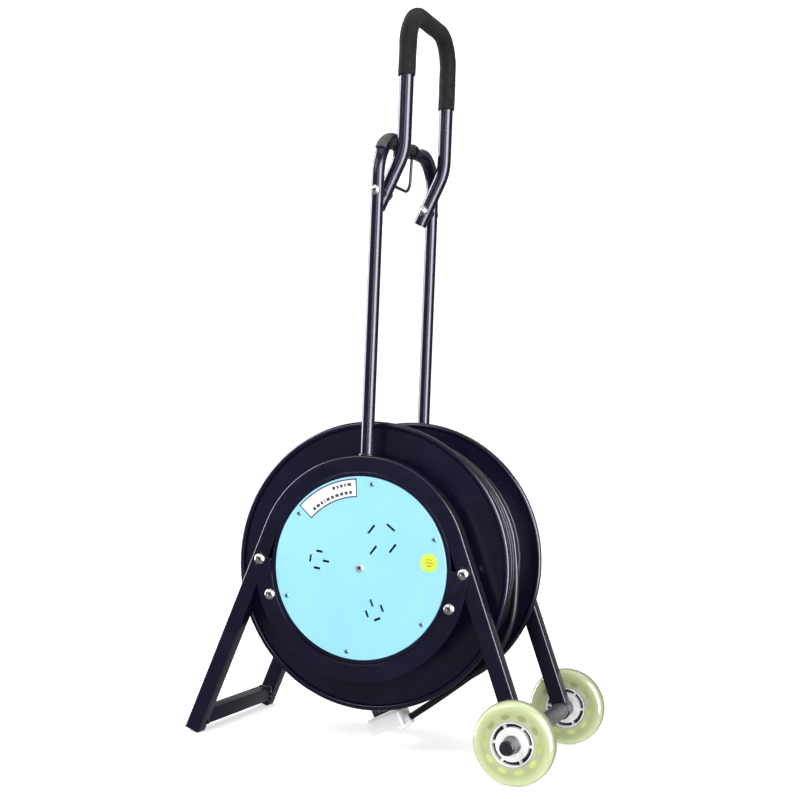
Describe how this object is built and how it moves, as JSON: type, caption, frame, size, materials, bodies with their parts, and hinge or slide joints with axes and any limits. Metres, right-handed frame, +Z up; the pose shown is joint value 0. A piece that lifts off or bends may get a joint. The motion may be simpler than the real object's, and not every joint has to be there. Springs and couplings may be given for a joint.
{
  "type": "trolley cable reel",
  "caption": "Two-wheeled trolley cable reel with a socket panel in the drum's hub, an A-frame stand of square tube and a tall folding handle.",
  "frame": {"origin": "on the floor, below the middle of the box round the reel without its cord and plug", "axes": "+Z up, -Y towards the socket panel, +X towards the wheels"},
  "size_m": [0.4888, 0.331, 0.9399],
  "materials": {
    "navy_powder_coat": "fine semi-gloss powder coat",
    "bright_zinc": "bright zinc plate",
    "grey_steel": "plain grey steel",
    "black_plastic": "moulded, matt",
    "black_rubber": "matt rubber",
    "cable_jacket": "smooth black jacket",
    "foam": "closed-cell foam",
    "clear_tyre": "translucent polyurethane",
    "white_nylon": "moulded nylon",
    "cyan_panel": "satin moulded plastic",
    "white_plastic": "moulded, satin",
    "label": "printed film, plain",
    "sticker": "vinyl film",
    "brass": "pressed brass"
  },
  "bodies": {
    "stand": {"front_frame": "navy_powder_coat", "rear_frame": "navy_powder_coat", "front_lower_hoop": "navy_powder_coat", "rear_lower_hoop": "navy_powder_coat", "joint_plates": "navy_powder_coat", "hoop_bolts": "bright_zinc", "hoop_nuts": "bright_zinc", "foot_plugs": "black_plastic", "foot_crossbar": "navy_powder_coat", "axle_tube": "grey_steel", "axle_rod": "bright_zinc", "axle_collars": "grey_steel", "axle_caps": "black_plastic", "front_bearing_ring": "navy_powder_coat", "rear_bearing_ring": "navy_powder_coat", "main_handle": "navy_powder_coat", "handle_welds": "navy_powder_coat", "arch_buffers": "black_rubber", "pivot_bolts": "bright_zinc", "pivot_nuts": "bright_zinc", "pivot_washers": "black_plastic", "free_cord": "cable_jacket", "plug_body": "white_plastic", "plug_blades": "grey_steel", "plug_clamp": "white_plastic"},
    "front_wheel": {"front_tyre": "clear_tyre", "front_wheel_hub": "white_nylon", "front_wheel_bearings": "bright_zinc"},
    "rear_wheel": {"rear_tyre": "clear_tyre", "rear_wheel_hub": "white_nylon", "rear_wheel_bearings": "bright_zinc"},
    "drum": {"front_flange": "navy_powder_coat", "rear_flange": "navy_powder_coat", "drum_core": "navy_powder_coat", "front_hub": "navy_powder_coat", "rear_hub": "navy_powder_coat", "hub_bolts": "bright_zinc", "socket_panel": "cyan_panel", "large_socket": "black_plastic", "left_socket": "black_plastic", "lower_socket": "black_plastic", "socket_contacts": "brass", "panel_screws": "bright_zinc", "panel_label": "label", "panel_sticker": "sticker", "tie_rod": "bright_zinc", "tie_rod_nuts": "bright_zinc", "terminal_block": "white_plastic", "core_gland": "black_rubber", "cable_winding": "cable_jacket", "rear_cover": "black_plastic", "cover_screws": "bright_zinc", "crank_bracket": "grey_steel", "crank_pin": "bright_zinc"},
    "crank": {"crank_shank": "grey_steel"},
    "crank_knob": {"crank_grip": "black_plastic"},
    "loop": {"loop_handle": "navy_powder_coat", "foam_grip": "foam"},
    "bail": {"lock_bail": "black_plastic"}
  },
  "joints": [
    {"name": "drum_spin", "type": "hinge", "parent": "stand", "child": "drum", "pos_m": [-0.02026, 0, 0.23152], "axis": [0, 1, 0], "continuous": true},
    {"name": "front_wheel_spin", "type": "hinge", "parent": "stand", "child": "front_wheel", "pos_m": [0.19441, -0.129, 0.05], "axis": [0, 1, 0], "continuous": true},
    {"name": "rear_wheel_spin", "type": "hinge", "parent": "stand", "child": "rear_wheel", "pos_m": [0.19441, 0.129, 0.05], "axis": [0, 1, 0], "continuous": true},
    {"name": "handle_fold", "type": "hinge", "parent": "stand", "child": "loop", "pos_m": [-0.03488, 0, 0.6965], "axis": [0, 1, 0], "range_deg": [0, 170]},
    {"name": "bail_swing", "type": "hinge", "parent": "stand", "child": "bail", "pos_m": [-0.03707, 0, 0.76625], "axis": [0, 1, 0], "range_deg": [-95, 95]},
    {"name": "crank_fold", "type": "hinge", "parent": "drum", "child": "crank", "pos_m": [-0.02026, 0.128, 0.14352], "axis": [-1, 0, 0], "range_deg": [0, 90]},
    {"name": "crank_knob_spin", "type": "hinge", "parent": "crank", "child": "crank_knob", "pos_m": [-0.02026, 0.128, 0.18152], "axis": [0, 0, 1], "continuous": true}
  ]
}
